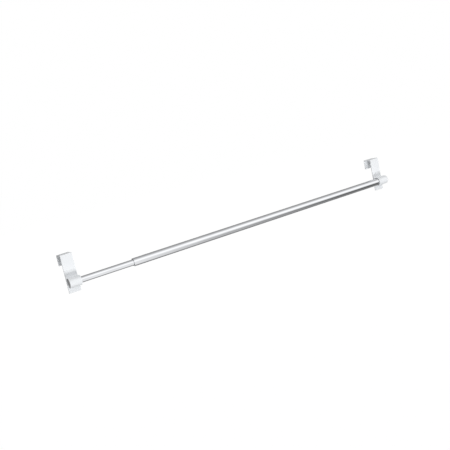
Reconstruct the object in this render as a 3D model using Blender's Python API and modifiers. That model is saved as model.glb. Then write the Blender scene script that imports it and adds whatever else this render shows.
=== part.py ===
"""Extendable hook-over rail: two telescoping tubes carried by two white hook brackets.

Units are metres. +X runs along the rail from the left bracket to the right one, +Y points from
the user towards the board that the hooks hang on, and +Z is up. The origin is the middle of the
left hook's seat, the flat that rests on the board's top edge.
"""

from math import atan2, cos, degrees, pi, radians, sin, sqrt, tan

import bmesh
import bpy
from mathutils import Vector

OBJECT_NAME = "hook_over_rail"

# Driving dimensions
OUTER_TUBE_DIAMETER = 0.016
INNER_TUBE_DIAMETER = 0.012
OUTER_TUBE_WALL = 0.0008
INNER_TUBE_WALL = 0.0008
RAIL_LENGTH = 0.7895  # over the outer faces of the two brackets, as stored
INNER_TUBE_SHOWING = 0.108  # between the left bracket and the outer tube's mouth
INNER_TUBE_LENGTH = 0.550

BRACKET_WIDTH = 0.0235
BRACKET_THICKNESS = 0.0024
HOOK_GAP = 0.0184  # takes a board of 16 to 18 mm
HOOK_RISE = 0.0529  # from the rail's axis to the top of the plate
HOOK_FALL = 0.0014  # the top of the hook falls this much towards its lip, over a level seat
HOOK_LIP = 0.0223  # from the top of the plate to the end of the lip
OUTER_BEND_RADIUS = 0.0018
INNER_BEND_RADIUS = 0.0010
TAIL_DROP = 0.0210  # from the rail's axis to the end of the tail
PLATE_SETBACK = 0.0100  # from the rail's axis to the front of the plate
LOOP_BORE_RADIUS = 0.0085
LOOP_WALL = 0.0010
LOOP_RISE = 0.0003  # of the loop's centre above the rail's axis, because the tube hangs low in it
SWEEP_RADIUS = 0.0035  # hollow between the plate and the top of the loop
CREASE_RADIUS = 0.0012  # between the loop and the tail
EDGE_ROUNDING = 0.0004

BORE_CHAMFER = 0.0003

END_CAP_DIAMETER = 0.0178
END_CAP_THICKNESS = 0.0036
END_CAP_ROUNDING = 0.0014
END_CAP_SPIGOT = 0.012  # length inside the outer tube
END_CAP_WALL = 0.0015

MOUTH_ROLL = 0.0010  # radius of the outer tube's rolled mouth
MOUTH_GAP = 0.0006  # between the mouth's lip and the inner tube
TUBE_CHAMFER = 0.0002
GUIDE_BUSH_LENGTH = 0.012
BUSH_CHAMFER = 0.0003
BUSH_RECESS = 0.0005  # of the reducer bush inside the left bracket's right face

END_PLUG_RECESS = 0.0012  # of the end plug inside the left bracket's left face
END_PLUG_FLANGE_RADIUS = 0.0078
END_PLUG_FLANGE_THICKNESS = 0.0018
END_PLUG_SPIGOT = 0.008

GUIDE_PLUG_SPIGOT = 0.014
GUIDE_FLANGE = 0.003
JOURNAL_RADIUS = 0.0046
SNAP_HEAD = 0.0024
SNAP_HEAD_RADIUS = 0.0053
COLLAR_LENGTH = 0.011
COLLAR_SLIT = 0.0018

CLEARANCE = 0.0003  # between pieces that meet face to face
SLIDING_CLEARANCE = 0.00015  # around a round piece that fits or runs in another

ROUND_STEPS = 48
ARC_STEP = 9  # degrees between the points of an arc
WELD = 1e-6
FLAT = radians(0.5)
SHARP = radians(40)
MARGIN = 0.001  # that a cutter reaches past the face it cuts

# Colour, roughness and metallic value
WHITE_COATING = ((0.90, 0.92, 0.95), 0.38, 0.0)
WHITE_PLASTIC = ((0.92, 0.92, 0.93), 0.45, 0.0)
GREY_NYLON = ((0.46, 0.47, 0.48), 0.55, 0.0)
CHROME = ((0.80, 0.81, 0.83), 0.12, 1.0)

# Places worked out from them
SEAT_ABOVE_AXIS = HOOK_RISE - HOOK_FALL - BRACKET_THICKNESS
PLATE_BACK = PLATE_SETBACK + BRACKET_THICKNESS
AXIS_Y = -(PLATE_BACK + HOOK_GAP / 2)
AXIS_Z = -SEAT_ABOVE_AXIS
LEFT_FACE = -BRACKET_WIDTH / 2
RIGHT_FACE = LEFT_FACE + RAIL_LENGTH
RIGHT_BRACKET_X = RIGHT_FACE - BRACKET_WIDTH / 2
MOUTH_X = BRACKET_WIDTH / 2 + INNER_TUBE_SHOWING
OUTER_RADIUS = OUTER_TUBE_DIAMETER / 2
OUTER_BORE = OUTER_RADIUS - OUTER_TUBE_WALL
INNER_RADIUS = INNER_TUBE_DIAMETER / 2
INNER_BORE = INNER_RADIUS - INNER_TUBE_WALL
INNER_TUBE_START = LEFT_FACE + END_PLUG_RECESS + END_PLUG_FLANGE_THICKNESS + CLEARANCE
GUIDE_PLUG_X = INNER_TUBE_START + INNER_TUBE_LENGTH + CLEARANCE
GUIDE_BUSH_START = MOUTH_X + OUTER_TUBE_WALL + CLEARANCE


def clear_scene():
    for item in list(bpy.data.objects):
        bpy.data.objects.remove(item, do_unlink=True)


def collection(name):
    made = bpy.data.collections.new(name)
    bpy.context.scene.collection.children.link(made)
    return made


def material(name, finish):
    colour, roughness, metallic = finish
    made = bpy.data.materials.new(name)
    made.use_nodes = True
    shader = made.node_tree.nodes["Principled BSDF"]
    shader.inputs["Base Color"].default_value = (*colour, 1.0)
    shader.inputs["Roughness"].default_value = roughness
    shader.inputs["Metallic"].default_value = metallic
    return made


def settle(item, name, finish):
    """Replaces a curve, or a mesh with modifiers, by a closed mesh object in its place."""
    bpy.context.view_layer.update()
    graph = bpy.context.evaluated_depsgraph_get()
    mesh = bpy.data.meshes.new_from_object(item.evaluated_get(graph))
    mesh.name = name
    surface = bmesh.new()
    surface.from_mesh(mesh)
    bmesh.ops.remove_doubles(surface, verts=surface.verts, dist=WELD)
    bmesh.ops.dissolve_limit(surface, angle_limit=FLAT, verts=surface.verts, edges=surface.edges)
    bmesh.ops.recalc_face_normals(surface, faces=surface.faces)
    surface.to_mesh(mesh)
    surface.free()
    mesh.materials.clear()
    mesh.materials.append(material(name + "_finish", finish))
    mesh.shade_smooth()
    mesh.set_sharp_from_angle(angle=SHARP)
    made = bpy.data.objects.new(name, mesh)
    made.matrix_world = item.matrix_world
    parts.objects.link(made)
    bpy.data.objects.remove(item, do_unlink=True)
    return made


def turned(name, profile, x, finish, closed=True):
    """A piece turned about the rail's axis. Its profile lists (radius, distance along +X from x)."""
    mesh = bpy.data.meshes.new(name + "_profile")
    points = [(radius, 0.0, along) for radius, along in profile]
    edges = [(i, i + 1) for i in range(len(points) - 1)]
    if closed:
        edges.append((len(points) - 1, 0))
    mesh.from_pydata(points, edges, [])
    item = bpy.data.objects.new(name + "_turning", mesh)
    parts.objects.link(item)
    item.location = (x, AXIS_Y, AXIS_Z)
    item.rotation_euler = (0.0, pi / 2, 0.0)
    screw = item.modifiers.new("Screw", "SCREW")
    screw.steps = ROUND_STEPS
    screw.render_steps = ROUND_STEPS
    screw.use_merge_vertices = True
    screw.merge_threshold = WELD
    return settle(item, name, finish)


def arc(centre, radius, start, end):
    """Points on an arc, from one angle in degrees to the other."""
    steps = max(2, round(abs(end - start) / ARC_STEP))
    turns = [radians(start + (end - start) * i / steps) for i in range(steps + 1)]
    return [(centre[0] + radius * cos(turn), centre[1] + radius * sin(turn)) for turn in turns]


def sleeve_profile(radius, bore, length, chamfer):
    """Down the outer side from the far end to the near one, then back along the bore."""
    return [
        (radius - chamfer, length),
        (radius, length - chamfer),
        (radius, chamfer),
        (radius - chamfer, 0.0),
        (bore, 0.0),
        (bore, length),
    ]


def cut(item, cutter):
    cutters.objects.link(cutter)
    parts.objects.unlink(cutter)
    cutter.hide_render = True
    cutter.display_type = "WIRE"
    removal = item.modifiers.new("Cut by " + cutter.name, "BOOLEAN")
    removal.operation = "DIFFERENCE"
    removal.object = cutter


def rounded(before, corner, after, radius):
    """Points of the arc that rounds a corner between two neighbouring points."""
    corner = Vector(corner)
    arm = (Vector(before) - corner).normalized()
    other = (Vector(after) - corner).normalized()
    half = arm.angle(other) / 2
    centre = corner + (arm + other).normalized() * radius / sin(half)
    start = corner + arm * radius / tan(half) - centre
    turn = start.angle_signed(corner + other * radius / tan(half) - centre)
    first = degrees(atan2(start.y, start.x))
    return arc(centre, radius, first, first - degrees(turn))


def bracket_outline():
    """The hook bracket seen from its end, as (Y, Z) measured from the rail's axis."""
    lip_inside = PLATE_BACK + HOOK_GAP
    lip_outside = lip_inside + BRACKET_THICKNESS
    lip_end = (lip_outside, HOOK_RISE - HOOK_LIP)
    lip_top = (lip_outside, HOOK_RISE - HOOK_FALL)
    plate_top = (PLATE_SETBACK, HOOK_RISE)
    loop_radius = LOOP_BORE_RADIUS + LOOP_WALL

    sweep_y = PLATE_SETBACK - SWEEP_RADIUS
    sweep_rise = sqrt((loop_radius + SWEEP_RADIUS) ** 2 - sweep_y**2)
    sweep_end = degrees(atan2(-sweep_rise, -sweep_y))
    crease_y = PLATE_SETBACK - CREASE_RADIUS
    crease_drop = sqrt((loop_radius + CREASE_RADIUS) ** 2 - crease_y**2)
    crease_start = degrees(atan2(crease_drop, -crease_y))
    tail_end = (PLATE_BACK, -TAIL_DROP)
    seat_front = (PLATE_BACK, SEAT_ABOVE_AXIS)
    seat_back = (lip_inside, SEAT_ABOVE_AXIS)
    lip_tip = (lip_inside, HOOK_RISE - HOOK_LIP)

    points = [lip_tip, lip_end]
    points += rounded(lip_end, lip_top, plate_top, OUTER_BEND_RADIUS)
    points += rounded(lip_top, plate_top, (PLATE_SETBACK, 0.0), OUTER_BEND_RADIUS)
    points += arc((sweep_y, LOOP_RISE + sweep_rise), SWEEP_RADIUS, 0, sweep_end)
    points += arc((0.0, LOOP_RISE), loop_radius, sweep_end + 180, crease_start + 180)[1:-1]
    points += arc((crease_y, LOOP_RISE - crease_drop), CREASE_RADIUS, crease_start, 0)
    points += [(PLATE_SETBACK, -TAIL_DROP), tail_end]
    points += rounded(tail_end, seat_front, seat_back, INNER_BEND_RADIUS)
    points += rounded(seat_front, seat_back, lip_tip, INNER_BEND_RADIUS)
    return points


def bore_cutter(name, x):
    """Cuts the loop's bore, with a small chamfer at each mouth."""
    half = BRACKET_WIDTH / 2
    mouth = LOOP_BORE_RADIUS + BORE_CHAMFER
    profile = [
        (0.0, half + MARGIN),
        (mouth + MARGIN, half + MARGIN),
        (mouth, half),
        (LOOP_BORE_RADIUS, half - BORE_CHAMFER),
        (LOOP_BORE_RADIUS, BORE_CHAMFER - half),
        (mouth, -half),
        (mouth + MARGIN, -half - MARGIN),
        (0.0, -half - MARGIN),
    ]
    cutter = turned(name, profile, x, WHITE_COATING, closed=False)
    cutter.location.z += LOOP_RISE
    return cutter


def hook_bracket(name, x):
    """One bracket: its outline extruded to width, its edges rounded, its loop bored through."""
    outline = bpy.data.curves.new(name + "_outline", "CURVE")
    outline.dimensions = "2D"
    outline.fill_mode = "BOTH"
    outline.extrude = BRACKET_WIDTH / 2
    points = bracket_outline()
    spline = outline.splines.new("POLY")
    spline.points.add(len(points) - 1)
    for point, (y, z) in zip(spline.points, points):
        point.co = (y, z, 0.0, 1.0)
    spline.use_cyclic_u = True
    item = bpy.data.objects.new(name + "_extrusion", outline)
    parts.objects.link(item)
    item.location = (x, AXIS_Y, AXIS_Z)
    item.rotation_euler = (pi / 2, 0.0, pi / 2)
    made = settle(item, name, WHITE_COATING)
    rounding = made.modifiers.new("Edge rounding", "BEVEL")
    rounding.width = EDGE_ROUNDING
    rounding.segments = 2
    rounding.limit_method = "ANGLE"
    rounding.angle_limit = SHARP
    cut(made, bore_cutter(name + "_bore", x))


def outer_tube():
    """Plain tube whose mouth is rolled inwards to a lip that holds the guide bush."""
    length = RIGHT_FACE - MOUTH_X
    roll = arc((OUTER_RADIUS - MOUTH_ROLL, MOUTH_ROLL), MOUTH_ROLL, 0, -90)
    opening = INNER_RADIUS + MOUTH_GAP
    profile = [(OUTER_RADIUS - TUBE_CHAMFER, length), (OUTER_RADIUS, length - TUBE_CHAMFER)]
    profile += roll
    profile += [(opening, 0.0), (opening, OUTER_TUBE_WALL), (OUTER_BORE, OUTER_TUBE_WALL)]
    profile += [(OUTER_BORE, length)]
    turned("outer_tube", profile, MOUTH_X, CHROME)


def inner_tube():
    profile = sleeve_profile(INNER_RADIUS, INNER_BORE, INNER_TUBE_LENGTH, TUBE_CHAMFER)
    turned("inner_tube", profile, INNER_TUBE_START, CHROME)


def mouth_guide_bush():
    """Nylon bush behind the outer tube's lip, which centres the inner tube."""
    radius = OUTER_BORE - SLIDING_CLEARANCE
    bore = INNER_RADIUS + SLIDING_CLEARANCE
    profile = sleeve_profile(radius, bore, GUIDE_BUSH_LENGTH, BUSH_CHAMFER)
    turned("mouth_guide_bush", profile, GUIDE_BUSH_START, GREY_NYLON)


def left_reducer_bush():
    """Brings the inner tube up to the outer tube's diameter, so that it fits the left loop."""
    bore = INNER_RADIUS + SLIDING_CLEARANCE
    length = BRACKET_WIDTH / 2 - BUSH_RECESS - INNER_TUBE_START
    profile = sleeve_profile(OUTER_RADIUS, bore, length, BUSH_CHAMFER)
    turned("left_reducer_bush", profile, INNER_TUBE_START, GREY_NYLON)


def inner_tube_end_plug():
    """Flanged plug that keeps the inner tube from drawing out of its bush."""
    spigot = INNER_BORE - SLIDING_CLEARANCE
    edge = END_PLUG_FLANGE_THICKNESS / 3
    shoulder = -END_PLUG_FLANGE_THICKNESS
    profile = [
        (0.0, END_PLUG_SPIGOT),
        (spigot, END_PLUG_SPIGOT),
        (spigot, 0.0),
        (END_PLUG_FLANGE_RADIUS, 0.0),
        (END_PLUG_FLANGE_RADIUS, shoulder + edge),
        (END_PLUG_FLANGE_RADIUS - edge, shoulder),
        (0.0, shoulder),
    ]
    turned("inner_tube_end_plug", profile, INNER_TUBE_START - CLEARANCE, GREY_NYLON, closed=False)


def sliding_guide_plug():
    """Pressed into the inner tube's far end: a guide flange, a journal and a snap head."""
    spigot = INNER_BORE - SLIDING_CLEARANCE
    flange = OUTER_BORE - SLIDING_CLEARANCE
    journal_end = GUIDE_FLANGE + COLLAR_LENGTH + 2 * SLIDING_CLEARANCE
    head_end = journal_end + SNAP_HEAD
    profile = [
        (0.0, head_end),
        (JOURNAL_RADIUS, head_end),
        (SNAP_HEAD_RADIUS, journal_end + SNAP_HEAD / 2),
        (SNAP_HEAD_RADIUS, journal_end),
        (JOURNAL_RADIUS, journal_end),
        (JOURNAL_RADIUS, GUIDE_FLANGE),
        (flange, GUIDE_FLANGE),
        (flange, 0.0),
        (spigot, 0.0),
        (spigot, -GUIDE_PLUG_SPIGOT),
        (0.0, -GUIDE_PLUG_SPIGOT),
    ]
    turned("sliding_guide_plug", profile, GUIDE_PLUG_X, GREY_NYLON, closed=False)


def friction_collar():
    """Split nylon ring on the plug's journal, which grips the outer tube's bore."""
    bore = JOURNAL_RADIUS + SLIDING_CLEARANCE
    radius = OUTER_BORE - SLIDING_CLEARANCE
    start = GUIDE_PLUG_X + GUIDE_FLANGE + SLIDING_CLEARANCE
    profile = sleeve_profile(radius, bore, COLLAR_LENGTH, BUSH_CHAMFER)
    collar = turned("friction_collar", profile, start, WHITE_PLASTIC)
    block = bmesh.new()
    bmesh.ops.create_cube(block, size=1.0)
    bmesh.ops.scale(block, vec=(2 * COLLAR_LENGTH, COLLAR_SLIT, radius), verts=block.verts)
    mesh = bpy.data.meshes.new("friction_collar_slit")
    block.to_mesh(mesh)
    block.free()
    slit = bpy.data.objects.new("friction_collar_slit", mesh)
    parts.objects.link(slit)
    slit.location = (start + COLLAR_LENGTH / 2, AXIS_Y, AXIS_Z + radius)
    cut(collar, slit)


def right_end_cap():
    """White cap pressed into the outer tube's end, which stops the right bracket coming off."""
    radius = END_CAP_DIAMETER / 2
    spigot = OUTER_BORE - SLIDING_CLEARANCE
    inside = spigot - END_CAP_WALL
    rim = (radius - END_CAP_ROUNDING, END_CAP_THICKNESS - END_CAP_ROUNDING)
    profile = [(0.0, END_CAP_THICKNESS)]
    profile += arc(rim, END_CAP_ROUNDING, 90, 0)
    profile += [
        (radius, 0.0),
        (spigot, 0.0),
        (spigot, -END_CAP_SPIGOT),
        (inside, -END_CAP_SPIGOT),
        (inside, END_CAP_THICKNESS - END_CAP_WALL),
        (0.0, END_CAP_THICKNESS - END_CAP_WALL),
    ]
    turned("right_end_cap", profile, RIGHT_FACE + CLEARANCE, WHITE_PLASTIC, closed=False)


clear_scene()
parts = collection(OBJECT_NAME)
cutters = collection("cutters")
hook_bracket("left_hook_bracket", 0.0)
hook_bracket("right_hook_bracket", RIGHT_BRACKET_X)
outer_tube()
inner_tube()
mouth_guide_bush()
left_reducer_bush()
inner_tube_end_plug()
sliding_guide_plug()
friction_collar()
right_end_cap()
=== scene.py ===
"""Looks of the extendable hook-over rail: fine meshes and finishes around the CAD frame."""

from math import atan2, cos, degrees, pi, radians, sin, sqrt, tan

import bmesh
import bpy
from mathutils import Matrix, Vector


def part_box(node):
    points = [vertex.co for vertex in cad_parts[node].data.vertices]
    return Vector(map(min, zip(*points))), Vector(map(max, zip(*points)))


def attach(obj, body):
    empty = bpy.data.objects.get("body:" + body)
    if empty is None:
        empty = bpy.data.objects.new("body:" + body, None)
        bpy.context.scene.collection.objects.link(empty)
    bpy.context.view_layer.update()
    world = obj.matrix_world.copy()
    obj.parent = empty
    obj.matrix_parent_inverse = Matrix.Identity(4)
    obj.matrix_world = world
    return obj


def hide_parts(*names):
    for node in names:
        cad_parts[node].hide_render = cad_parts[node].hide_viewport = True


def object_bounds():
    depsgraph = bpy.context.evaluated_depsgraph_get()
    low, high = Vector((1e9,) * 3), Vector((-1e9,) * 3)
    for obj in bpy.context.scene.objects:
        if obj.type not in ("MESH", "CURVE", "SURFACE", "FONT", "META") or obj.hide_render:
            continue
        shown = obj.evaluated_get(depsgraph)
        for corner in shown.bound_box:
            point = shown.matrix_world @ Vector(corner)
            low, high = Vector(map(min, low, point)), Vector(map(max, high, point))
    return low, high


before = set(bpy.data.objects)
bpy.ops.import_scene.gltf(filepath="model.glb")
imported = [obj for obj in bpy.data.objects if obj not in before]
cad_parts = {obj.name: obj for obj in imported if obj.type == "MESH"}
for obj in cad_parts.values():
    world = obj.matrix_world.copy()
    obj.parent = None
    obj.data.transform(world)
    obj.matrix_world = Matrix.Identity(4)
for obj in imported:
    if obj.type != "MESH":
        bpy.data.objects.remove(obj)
CAD_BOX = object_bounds()

# The rail's axis and radii, from the CAD boxes
TUBE_LOW, TUBE_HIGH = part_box("outer_tube")
THIN_LOW, THIN_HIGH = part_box("inner_tube")
AXIS_Y = (TUBE_LOW.y + TUBE_HIGH.y) / 2
AXIS_Z = (TUBE_LOW.z + TUBE_HIGH.z) / 2
OUTER_RADIUS = (TUBE_HIGH.z - TUBE_LOW.z) / 2
INNER_RADIUS = (THIN_HIGH.z - THIN_LOW.z) / 2

# Section of the hook bracket, in metres from the rail's axis
BRACKET_THICKNESS = 0.0024
HOOK_GAP = 0.0184
HOOK_RISE = 0.0529
HOOK_FALL = 0.0014
HOOK_LIP = 0.0223
OUTER_BEND_RADIUS = 0.0018
INNER_BEND_RADIUS = 0.0010
TAIL_DROP = 0.0210
PLATE_SETBACK = 0.0100
LOOP_BORE_RADIUS = 0.0085
LOOP_WALL = 0.0010
LOOP_RISE = 0.0003
SWEEP_RADIUS = 0.0035
CREASE_RADIUS = 0.0012
EDGE_ROUNDING = 0.0004
BORE_CHAMFER = 0.0003

TUBE_WALL = 0.0008
MOUTH_ROLL = 0.0010
MOUTH_GAP = 0.0006
TUBE_CHAMFER = 0.0002
SLEEVE_ROUNDING = 0.0003
CAP_ROUNDING = 0.0014
CAP_WALL = 0.0015
PLUG_FLANGE = 0.0018
PLUG_ROUNDING = 0.0005
CLEARANCE = 0.0003  # between pieces that meet face to face
RUNNING_GAP = 0.00015  # around a round piece that fits or runs in another

ROUND_STEPS = 128  # sides of a turned piece
ARC_STEP = 3  # degrees between the points of an arc
ARC_LEAST = 3  # fewest steps in an arc
ROUNDING_SEGMENTS = 4
WELD = 1e-6
FLAT = radians(0.3)
SHARP = radians(35)
CUTTER_MARGIN = 0.001  # how far a cutter reaches past what it cuts


# Materials


def new_material(name):
    made = bpy.data.materials.new(name)
    made.use_nodes = True
    tree = made.node_tree
    return made, tree, tree.nodes["Principled BSDF"]


def node(tree, kind, **settings):
    made = tree.nodes.new(kind)
    for key, value in settings.items():
        setattr(made, key, value)
    return made


def noise(tree, scale, detail=2.0, stretch=(1.0, 1.0, 1.0)):
    place = node(tree, "ShaderNodeTexCoord")
    mapping = node(tree, "ShaderNodeMapping")
    mapping.inputs["Scale"].default_value = stretch
    texture = node(tree, "ShaderNodeTexNoise")
    texture.inputs["Scale"].default_value = scale
    texture.inputs["Detail"].default_value = detail
    tree.links.new(place.outputs["Object"], mapping.inputs["Vector"])
    tree.links.new(mapping.outputs["Vector"], texture.inputs["Vector"])
    return texture.outputs["Fac"]


def spread(tree, value, low, high, start=0.3, end=0.7):
    """The value from start to end, stretched to run from low to high."""
    made = node(tree, "ShaderNodeMapRange")
    made.inputs["From Min"].default_value = start
    made.inputs["From Max"].default_value = end
    made.inputs["To Min"].default_value = low
    made.inputs["To Max"].default_value = high
    tree.links.new(value, made.inputs["Value"])
    return made.outputs["Result"]


def tint(tree, value, dark, light):
    made = node(tree, "ShaderNodeMix", data_type="RGBA")
    made.inputs["A"].default_value = (*dark, 1.0)
    made.inputs["B"].default_value = (*light, 1.0)
    tree.links.new(value, made.inputs["Factor"])
    return made.outputs["Result"]


def bump(tree, shader, height, distance):
    made = node(tree, "ShaderNodeBump")
    made.inputs["Distance"].default_value = distance
    tree.links.new(height, made.inputs["Height"])
    tree.links.new(made.outputs["Normal"], shader.inputs["Normal"])


def white_coating():
    """Satin powder coat: faint clouding, uneven gloss and a fine orange peel."""
    made, tree, shader = new_material("white_coating")
    cloud = spread(tree, noise(tree, scale=60.0), low=0.0, high=1.0)
    colour = tint(tree, cloud, dark=(0.865, 0.886, 0.910), light=(0.895, 0.914, 0.936))
    tree.links.new(colour, shader.inputs["Base Color"])
    gloss = spread(tree, noise(tree, scale=140.0), low=0.32, high=0.42)
    tree.links.new(gloss, shader.inputs["Roughness"])
    bump(tree, shader, noise(tree, scale=900.0, detail=1.0), distance=0.00003)
    return made


def chrome():
    """Bright plate, with faint haze and the draw lines that run along the tube."""
    made, tree, shader = new_material("bright_chrome")
    shader.inputs["Metallic"].default_value = 1.0
    cloud = spread(tree, noise(tree, scale=25.0), low=0.0, high=1.0)
    colour = tint(tree, cloud, dark=(0.78, 0.79, 0.81), light=(0.83, 0.84, 0.86))
    tree.links.new(colour, shader.inputs["Base Color"])
    lines = noise(tree, scale=1500.0, stretch=(0.02, 1.0, 1.0))
    tree.links.new(spread(tree, lines, low=0.08, high=0.125), shader.inputs["Roughness"])
    return made


def plastic(name, dark, light, roughness, grain):
    """Moulded plastic: faint clouding, uneven gloss and a fine grain of the given depth."""
    made, tree, shader = new_material(name)
    cloud = spread(tree, noise(tree, scale=90.0), low=0.0, high=1.0)
    tree.links.new(tint(tree, cloud, dark, light), shader.inputs["Base Color"])
    gloss = noise(tree, scale=300.0)
    gloss = spread(tree, gloss, low=roughness * 0.9, high=roughness * 1.1)
    tree.links.new(gloss, shader.inputs["Roughness"])
    bump(tree, shader, noise(tree, scale=2500.0, detail=1.0), distance=grain)
    return made


WHITE_COATING = white_coating()
CHROME = chrome()
WHITE_PLASTIC = plastic(
    "white_plastic",
    dark=(0.88, 0.885, 0.91),
    light=(0.92, 0.925, 0.945),
    roughness=0.34,
    grain=0.00001,
)
GREY_NYLON = plastic(
    "grey_nylon",
    dark=(0.43, 0.435, 0.445),
    light=(0.49, 0.495, 0.505),
    roughness=0.5,
    grain=0.00002,
)


# Meshes


def finish_mesh(item, name, finish, stands_for, body):
    """Replaces a helper by a smooth-shaded mesh piece that rides on its body."""
    bpy.context.view_layer.update()
    graph = bpy.context.evaluated_depsgraph_get()
    mesh = bpy.data.meshes.new_from_object(item.evaluated_get(graph))
    mesh.name = name
    mesh.transform(item.matrix_world)
    mesh.materials.clear()
    mesh.materials.append(finish)
    mesh.shade_smooth()
    mesh.set_sharp_from_angle(angle=SHARP)
    made = bpy.data.objects.new(name, mesh)
    bpy.context.scene.collection.objects.link(made)
    bpy.data.objects.remove(item, do_unlink=True)
    weights = made.modifiers.new("Weighted normals", "WEIGHTED_NORMAL")
    weights.keep_sharp = True
    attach(made, body)
    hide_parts(stands_for)


def cleaned(item):
    """The object's mesh with its caps welded and its flat faces merged, as a new object."""
    bpy.context.view_layer.update()
    graph = bpy.context.evaluated_depsgraph_get()
    mesh = bpy.data.meshes.new_from_object(item.evaluated_get(graph))
    surface = bmesh.new()
    surface.from_mesh(mesh)
    bmesh.ops.remove_doubles(surface, verts=surface.verts, dist=WELD)
    bmesh.ops.dissolve_limit(surface, angle_limit=FLAT, verts=surface.verts, edges=surface.edges)
    bmesh.ops.recalc_face_normals(surface, faces=surface.faces)
    surface.to_mesh(mesh)
    surface.free()
    made = bpy.data.objects.new(item.name + "_clean", mesh)
    made.matrix_world = item.matrix_world
    bpy.context.scene.collection.objects.link(made)
    bpy.data.objects.remove(item, do_unlink=True)
    return made


def turning(name, profile, x, closed=True):
    """A mesh turned about the rail's axis from (radius, distance along +X) points."""
    mesh = bpy.data.meshes.new(name + "_profile")
    points = [(radius, 0.0, along) for radius, along in profile]
    edges = [(i, i + 1) for i in range(len(points) - 1)]
    if closed:
        edges.append((len(points) - 1, 0))
    mesh.from_pydata(points, edges, [])
    item = bpy.data.objects.new(name + "_turning", mesh)
    bpy.context.scene.collection.objects.link(item)
    item.location = (x, AXIS_Y, AXIS_Z)
    item.rotation_euler = (0.0, pi / 2, 0.0)
    screw = item.modifiers.new("Screw", "SCREW")
    screw.steps = ROUND_STEPS
    screw.render_steps = ROUND_STEPS
    screw.use_merge_vertices = True
    screw.merge_threshold = WELD
    return cleaned(item)


def arc(centre, radius, start, end):
    """Points on an arc, from one angle in degrees to the other."""
    steps = max(ARC_LEAST, round(abs(end - start) / ARC_STEP))
    turns = [radians(start + (end - start) * i / steps) for i in range(steps + 1)]
    return [(centre[0] + radius * cos(turn), centre[1] + radius * sin(turn)) for turn in turns]


def rounded(before, corner, after, radius):
    """Points of the arc that rounds a corner between two neighbouring points."""
    corner = Vector(corner)
    arm = (Vector(before) - corner).normalized()
    other = (Vector(after) - corner).normalized()
    half = arm.angle(other) / 2
    centre = corner + (arm + other).normalized() * radius / sin(half)
    start = corner + arm * radius / tan(half) - centre
    turn = start.angle_signed(corner + other * radius / tan(half) - centre)
    first = degrees(atan2(start.y, start.x))
    return arc(centre, radius, first, first - degrees(turn))


def bracket_outline():
    """The hook bracket seen from its end, as (Y, Z) measured from the rail's axis."""
    plate_back = PLATE_SETBACK + BRACKET_THICKNESS
    seat = HOOK_RISE - HOOK_FALL - BRACKET_THICKNESS
    lip_inside = plate_back + HOOK_GAP
    lip_outside = lip_inside + BRACKET_THICKNESS
    lip_end = (lip_outside, HOOK_RISE - HOOK_LIP)
    lip_top = (lip_outside, HOOK_RISE - HOOK_FALL)
    plate_top = (PLATE_SETBACK, HOOK_RISE)
    loop_radius = LOOP_BORE_RADIUS + LOOP_WALL

    sweep_y = PLATE_SETBACK - SWEEP_RADIUS
    sweep_rise = sqrt((loop_radius + SWEEP_RADIUS) ** 2 - sweep_y**2)
    sweep_end = degrees(atan2(-sweep_rise, -sweep_y))
    crease_y = PLATE_SETBACK - CREASE_RADIUS
    crease_drop = sqrt((loop_radius + CREASE_RADIUS) ** 2 - crease_y**2)
    crease_start = degrees(atan2(crease_drop, -crease_y))
    tail_end = (plate_back, -TAIL_DROP)
    seat_front = (plate_back, seat)
    seat_back = (lip_inside, seat)
    lip_tip = (lip_inside, HOOK_RISE - HOOK_LIP)

    points = [lip_tip, lip_end]
    points += rounded(lip_end, lip_top, plate_top, OUTER_BEND_RADIUS)
    points += rounded(lip_top, plate_top, (PLATE_SETBACK, 0.0), OUTER_BEND_RADIUS)
    points += arc((sweep_y, LOOP_RISE + sweep_rise), SWEEP_RADIUS, 0, sweep_end)
    points += arc((0.0, LOOP_RISE), loop_radius, sweep_end + 180, crease_start + 180)[1:-1]
    points += arc((crease_y, LOOP_RISE - crease_drop), CREASE_RADIUS, crease_start, 0)
    points += [(PLATE_SETBACK, -TAIL_DROP), tail_end]
    points += rounded(tail_end, seat_front, seat_back, INNER_BEND_RADIUS)
    points += rounded(seat_front, seat_back, lip_tip, INNER_BEND_RADIUS)
    return points


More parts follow.
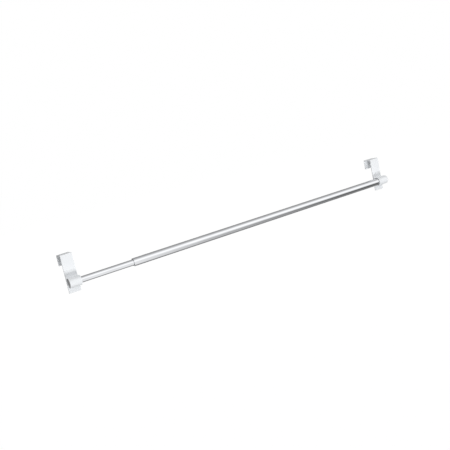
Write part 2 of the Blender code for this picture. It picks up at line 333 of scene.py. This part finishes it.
def bracket(node_name, body):
    low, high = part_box(node_name)
    x = (low.x + high.x) / 2
    half = (high.x - low.x) / 2
    name = node_name[: -len("_bracket")]
    outline = bpy.data.curves.new(name + "_outline", "CURVE")
    outline.dimensions = "2D"
    outline.fill_mode = "BOTH"
    outline.extrude = half
    points = bracket_outline()
    spline = outline.splines.new("POLY")
    spline.points.add(len(points) - 1)
    for point, (y, z) in zip(spline.points, points):
        point.co = (y, z, 0.0, 1.0)
    spline.use_cyclic_u = True
    item = bpy.data.objects.new(name + "_extrusion", outline)
    bpy.context.scene.collection.objects.link(item)
    item.location = (x, AXIS_Y, AXIS_Z)
    item.rotation_euler = (pi / 2, 0.0, pi / 2)
    item = cleaned(item)
    rounding = item.modifiers.new("Edge rounding", "BEVEL")
    rounding.width = EDGE_ROUNDING
    rounding.segments = ROUNDING_SEGMENTS
    rounding.limit_method = "ANGLE"
    rounding.angle_limit = SHARP
    mouth = LOOP_BORE_RADIUS + BORE_CHAMFER
    reach = half + CUTTER_MARGIN
    profile = [(0.0, reach), (mouth + CUTTER_MARGIN, reach)]
    profile += [(mouth, half), (LOOP_BORE_RADIUS, half - BORE_CHAMFER)]
    profile += [(LOOP_BORE_RADIUS, BORE_CHAMFER - half), (mouth, -half)]
    profile += [(mouth + CUTTER_MARGIN, -reach), (0.0, -reach)]
    cutter = turning(name + "_bore", profile, x, closed=False)
    cutter.location.z += LOOP_RISE
    removal = item.modifiers.new("Bore", "BOOLEAN")
    removal.operation = "DIFFERENCE"
    removal.object = cutter
    finish_mesh(item, name, WHITE_COATING, node_name, body)
    bpy.data.objects.remove(cutter, do_unlink=True)


def thick_tube():
    length = TUBE_HIGH.x - TUBE_LOW.x
    opening = INNER_RADIUS + MOUTH_GAP
    bore = OUTER_RADIUS - TUBE_WALL
    profile = [(OUTER_RADIUS - TUBE_CHAMFER, length), (OUTER_RADIUS, length - TUBE_CHAMFER)]
    profile += arc((OUTER_RADIUS - MOUTH_ROLL, MOUTH_ROLL), MOUTH_ROLL, 0, -90)
    profile += [(opening, 0.0), (opening, TUBE_WALL), (bore, TUBE_WALL), (bore, length)]
    item = turning("thick_tube", profile, TUBE_LOW.x)
    finish_mesh(item, "thick_tube", CHROME, "outer_tube", "outer_rod")


def thin_tube():
    length = THIN_HIGH.x - THIN_LOW.x
    bore = INNER_RADIUS - TUBE_WALL
    profile = [(INNER_RADIUS - TUBE_CHAMFER, length), (INNER_RADIUS, length - TUBE_CHAMFER)]
    profile += [(INNER_RADIUS, TUBE_CHAMFER), (INNER_RADIUS - TUBE_CHAMFER, 0.0)]
    profile += [(bore, 0.0), (bore, length)]
    item = turning("thin_tube", profile, THIN_LOW.x)
    finish_mesh(item, "thin_tube", CHROME, "inner_tube", "inner_rod")


def sleeve(node_name, name, body):
    """A nylon bush on the thin tube, with rounded outer edges."""
    low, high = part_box(node_name)
    bore = INNER_RADIUS + RUNNING_GAP
    length = high.x - low.x
    radius = (high.z - low.z) / 2
    edge = SLEEVE_ROUNDING
    profile = arc((radius - edge, length - edge), edge, 90, 0)
    profile += arc((radius - edge, edge), edge, 0, -90)
    profile += [(bore, 0.0), (bore, length)]
    item = turning(name, profile, low.x)
    finish_mesh(item, name, GREY_NYLON, node_name, body)


def end_cap():
    """The white cap: a disc with a rounded rim, on a thin-walled spigot inside the tube."""
    low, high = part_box("right_end_cap")
    radius = (high.z - low.z) / 2
    start = TUBE_HIGH.x + CLEARANCE
    face = high.x - start
    spigot = OUTER_RADIUS - TUBE_WALL - RUNNING_GAP
    inside = spigot - CAP_WALL
    profile = [(0.0, face)]
    profile += arc((radius - CAP_ROUNDING, face - CAP_ROUNDING), CAP_ROUNDING, 90, 0)
    profile += [(radius, 0.0), (spigot, 0.0), (spigot, low.x - start), (inside, low.x - start)]
    profile += [(inside, face - CAP_WALL), (0.0, face - CAP_WALL)]
    item = turning("end_cap", profile, start, closed=False)
    finish_mesh(item, "end_cap", WHITE_PLASTIC, "right_end_cap", "outer_rod")


def end_plug():
    """The grey plug in the thin tube's left end: a flange with a rounded rim, and its spigot."""
    low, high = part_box("inner_tube_end_plug")
    radius = (high.z - low.z) / 2
    length = high.x - low.x
    spigot = INNER_RADIUS - TUBE_WALL - RUNNING_GAP
    profile = [(0.0, length), (spigot, length), (spigot, PLUG_FLANGE), (radius, PLUG_FLANGE)]
    profile += arc((radius - PLUG_ROUNDING, PLUG_ROUNDING), PLUG_ROUNDING, 0, -90)
    profile += [(0.0, 0.0)]
    item = turning("end_plug", profile, low.x, closed=False)
    finish_mesh(item, "end_plug", GREY_NYLON, "inner_tube_end_plug", "inner_rod")


bracket("left_hook_bracket", "left_bracket")
bracket("right_hook_bracket", "right_bracket")
thick_tube()
thin_tube()
sleeve("left_reducer_bush", "reducer_sleeve", "left_bracket")
sleeve("mouth_guide_bush", "guide_sleeve", "outer_rod")
end_cap()
end_plug()
for hidden, finish in (("sliding_guide_plug", GREY_NYLON), ("friction_collar", WHITE_PLASTIC)):
    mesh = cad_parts[hidden].data
    mesh.materials.clear()
    mesh.materials.append(finish)


# Camera

VIEW_AZIMUTH = 29.293
VIEW_ELEVATION = 9.913
VIEW_ROLL = -12.479
VIEW_DISTANCE = 1.5166
VIEW_AIM = Vector((0.3341, AXIS_Y, AXIS_Z + 0.0141))
LENS = 59.315
SENSOR_WIDTH = 36.0


def add_camera():
    azimuth = radians(VIEW_AZIMUTH)
    elevation = radians(VIEW_ELEVATION)
    ahead = Vector((sin(azimuth) * cos(elevation), cos(azimuth) * cos(elevation), -sin(elevation)))
    data = bpy.data.cameras.new("camera")
    data.lens = LENS
    data.sensor_width = SENSOR_WIDTH
    made = bpy.data.objects.new("camera", data)
    bpy.context.scene.collection.objects.link(made)
    level = ahead.to_track_quat("-Z", "Y").to_matrix().to_4x4()
    roll = Matrix.Rotation(radians(VIEW_ROLL), 4, "Z")
    made.matrix_world = Matrix.Translation(VIEW_AIM - VIEW_DISTANCE * ahead) @ level @ roll
    bpy.context.scene.camera = made


add_camera()


# Studio

FLOOR_DROP = 0.35
FLOOR_HALF_WIDTH = 8.0
FLOOR_MIDDLE = 0.4
FLOOR_GREY = 0.04
FLOOR_ROUGHNESS = 0.9
FLOOR_GLOW = 0.975  # with the light it catches, the floor is just white
BACKDROP = 1.0

# Lamps: place from the rail's axis, how far along the rail it points, width, height, power.
# The key light stands low in front of the left hook, and the others light the back and the cap.
LIGHTS = {
    "key_light": ((0.05, -1.6, -1.16), 1.2, 0.4, 0.8, 27.0),
    "back_light": ((0.4, 4.0, 0.1), 0.4, 0.6, 0.4, 88.0),
    "end_light": ((5.0, 0.0, 0.2), 0.4, 0.4, 0.4, 50.0),
}

# Brightness round the rail's axis: (degrees up from the front, brightness). The softboxes are
# what the gloss mirrors, and the fill is the even light that falls on everything.
SOFTBOX = [(-180, 0.22), (-172, 0.25), (-164, 1.15), (-152, 1.15), (-144, 0.30), (-98, 0.22),
           (-78, 0.42), (-60, 0.84), (-8, 0.95), (8, 1.04), (28, 1.34), (40, 1.24), (56, 0.98),
           (72, 0.78), (86, 0.56), (104, 0.44), (140, 0.34), (180, 0.22)]
FILL = [(-180, 0.15), (-120, 0.12), (-80, 0.06), (-50, 0.05), (-20, 0.42), (10, 0.69), (45, 0.84),
        (80, 1.00), (120, 0.25), (180, 0.15)]
# Brightness of the apron in front of the rail, by how far to the right it lies
APRON = [(0.0, 1.0), (0.36, 0.98), (0.47, 0.55), (0.55, 0.33), (0.62, 0.13), (1.0, 0.06)]
APRON_START = -2.0
APRON_FULL = -24.0
APRON_FADE = -58.0
APRON_END = -100.0
RAMP_TOP = 2.0  # a ramp holds at most 1, so brightness is divided by this in it and restored after


def add_floor():
    mesh = bpy.data.meshes.new("floor")
    surface = bmesh.new()
    bmesh.ops.create_grid(surface, x_segments=1, y_segments=1, size=FLOOR_HALF_WIDTH)
    surface.to_mesh(mesh)
    surface.free()
    made = bpy.data.objects.new("floor", mesh)
    made.location = (FLOOR_MIDDLE, 0.0, CAD_BOX[0][2] - FLOOR_DROP)
    bpy.context.scene.collection.objects.link(made)
    finish, _, shader = new_material("pale_floor")
    shader.inputs["Base Color"].default_value = (FLOOR_GREY, FLOOR_GREY, FLOOR_GREY, 1.0)
    shader.inputs["Roughness"].default_value = FLOOR_ROUGHNESS
    shader.inputs["Specular IOR Level"].default_value = 0.0
    shader.inputs["Emission Color"].default_value = (1.0, 1.0, 1.0, 1.0)
    shader.inputs["Emission Strength"].default_value = FLOOR_GLOW
    mesh.materials.append(finish)
    made.visible_glossy = False
    made.visible_diffuse = False
    made.visible_shadow = False


def add_lights():
    """They light the coating without showing as patches in the chrome."""
    axis = Vector((0.0, AXIS_Y, AXIS_Z))
    for name, (place, along, width, height, power) in LIGHTS.items():
        data = bpy.data.lights.new(name, "AREA")
        data.shape = "RECTANGLE"
        data.size = width
        data.size_y = height
        data.energy = power
        made = bpy.data.objects.new(name, data)
        bpy.context.scene.collection.objects.link(made)
        made.location = axis + Vector(place)
        ahead = axis + Vector((along, 0.0, 0.0)) - made.location
        made.rotation_euler = ahead.to_track_quat("-Z", "Y").to_euler()
        made.visible_glossy = False
        made.visible_camera = False


def maths(tree, operation, first, second=None):
    made = node(tree, "ShaderNodeMath", operation=operation)
    for socket, value in zip(made.inputs, (first, second)):
        if value is None:
            continue
        if isinstance(value, (int, float)):
            socket.default_value = value
        else:
            tree.links.new(value, socket)
    return made.outputs["Value"]


def mixed(tree, share, first, second):
    """The first value where the share is 0, and the second where it is 1."""
    made = node(tree, "ShaderNodeMix", data_type="FLOAT")
    for socket, value in (("Factor", share), ("A", first), ("B", second)):
        if isinstance(value, (int, float)):
            made.inputs[socket].default_value = value
        else:
            tree.links.new(value, made.inputs[socket])
    return made.outputs["Result"]


def brightness_curve(tree, value, stops):
    """A grey ramp through the stops, which hold (value, brightness)."""
    low, high = stops[0][0], stops[-1][0]
    ramp = node(tree, "ShaderNodeValToRGB")
    share = spread(tree, value, low=0.0, high=1.0, start=low, end=high)
    tree.links.new(share, ramp.inputs["Fac"])
    elements = ramp.color_ramp.elements
    while len(elements) < len(stops):
        elements.new(0.5)
    for element, (at, bright) in zip(elements, stops):
        element.position = (at - low) / (high - low)
        grey = bright / RAMP_TOP
        element.color = (grey, grey, grey, 1.0)
    return maths(tree, "MULTIPLY", ramp.outputs["Color"], RAMP_TOP)


def add_world():
    world = bpy.data.worlds.new("studio")
    bpy.context.scene.world = world
    world.cycles.sampling_method = "NONE"
    world.use_nodes = True
    tree = world.node_tree
    background = tree.nodes["Background"]
    direction = node(tree, "ShaderNodeSeparateXYZ")
    place = node(tree, "ShaderNodeTexCoord")
    tree.links.new(place.outputs["Generated"], direction.inputs["Vector"])
    front = maths(tree, "MULTIPLY", direction.outputs["Y"], -1.0)
    turn = maths(tree, "ARCTAN2", direction.outputs["Z"], front)
    turn = maths(tree, "MULTIPLY", turn, 180.0 / pi)
    apron = brightness_curve(tree, direction.outputs["X"], APRON)
    below = spread(tree, turn, low=0.0, high=1.0, start=APRON_START, end=APRON_FULL)
    before = spread(tree, turn, low=0.0, high=1.0, start=APRON_END, end=APRON_FADE)
    share = maths(tree, "MULTIPLY", below, before)
    mirrored = mixed(tree, share, brightness_curve(tree, turn, SOFTBOX), apron)
    path = node(tree, "ShaderNodeLightPath")
    fill = brightness_curve(tree, turn, FILL)
    strength = mixed(tree, path.outputs["Is Glossy Ray"], fill, mirrored)
    strength = mixed(tree, path.outputs["Is Camera Ray"], strength, BACKDROP)
    tree.links.new(strength, background.inputs["Strength"])
    background.inputs["Color"].default_value = (1.0, 1.0, 1.0, 1.0)


add_floor()
add_lights()
add_world()
bpy.context.scene.view_settings.view_transform = "Standard"
